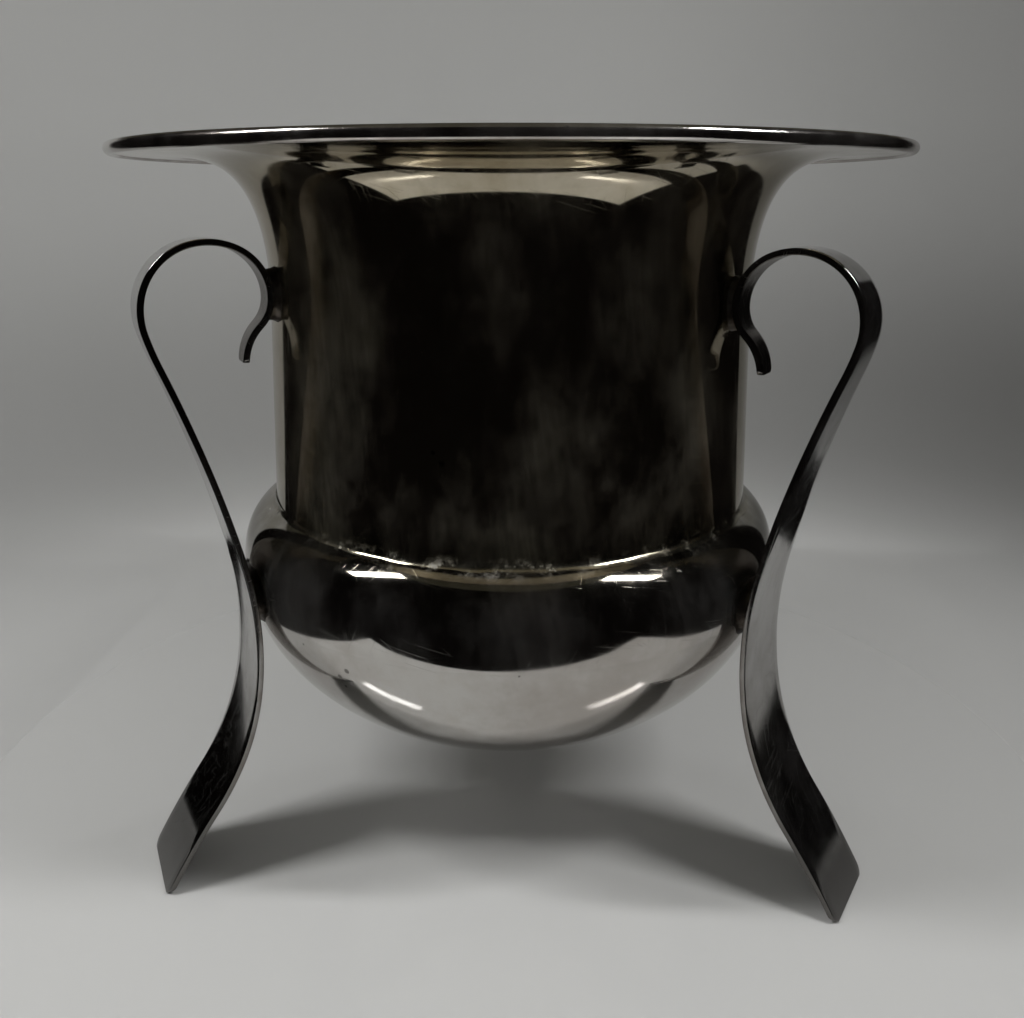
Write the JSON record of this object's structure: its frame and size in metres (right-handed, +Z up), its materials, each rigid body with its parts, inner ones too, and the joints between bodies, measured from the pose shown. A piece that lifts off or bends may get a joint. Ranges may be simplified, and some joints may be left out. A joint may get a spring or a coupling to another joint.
{
  "type": "champagne bucket stand",
  "caption": "Flared metal champagne bucket with a wired rim and rounded bowl, standing on strap legs that sweep up the sides and loop over into handles.",
  "frame": {"origin": "at ground level, in the middle of the footprint's box; the bucket's own axis stands 6.6 mm in front of it, at y = -0.0066", "axes": "+Z up along the bucket's axis; the back leg points along +Y, the other two stand 60 degrees either side of -Y, which is the front"},
  "size_m": [0.257, 0.2682, 0.2438],
  "materials": {
    "sleeve_plate": "tarnished silver plate, mirror polished with fine scratches and hazy patches",
    "wire_plate": "tarnished silver plate, polished",
    "bowl_plate": "tarnished silver plate, mirror polished with fine scratches",
    "strap_plate": "tarnished silver plate, polished strip with worn edges",
    "seam_solder": "dull hand-run solder under worn plate",
    "joint_solder": "dull brownish solder"
  },
  "bodies": {
    "root": {"upper_body": "sleeve_plate", "rim_wire": "wire_plate", "bowl": "bowl_plate", "seam_ring": "seam_solder", "leg_left": "strap_plate", "lower_solder_left": "joint_solder", "upper_solder_left": "joint_solder", "leg_right": "strap_plate", "lower_solder_right": "joint_solder", "upper_solder_right": "joint_solder", "leg_back": "strap_plate", "lower_solder_back": "joint_solder", "upper_solder_back": "joint_solder"}
  },
  "joints": []
}
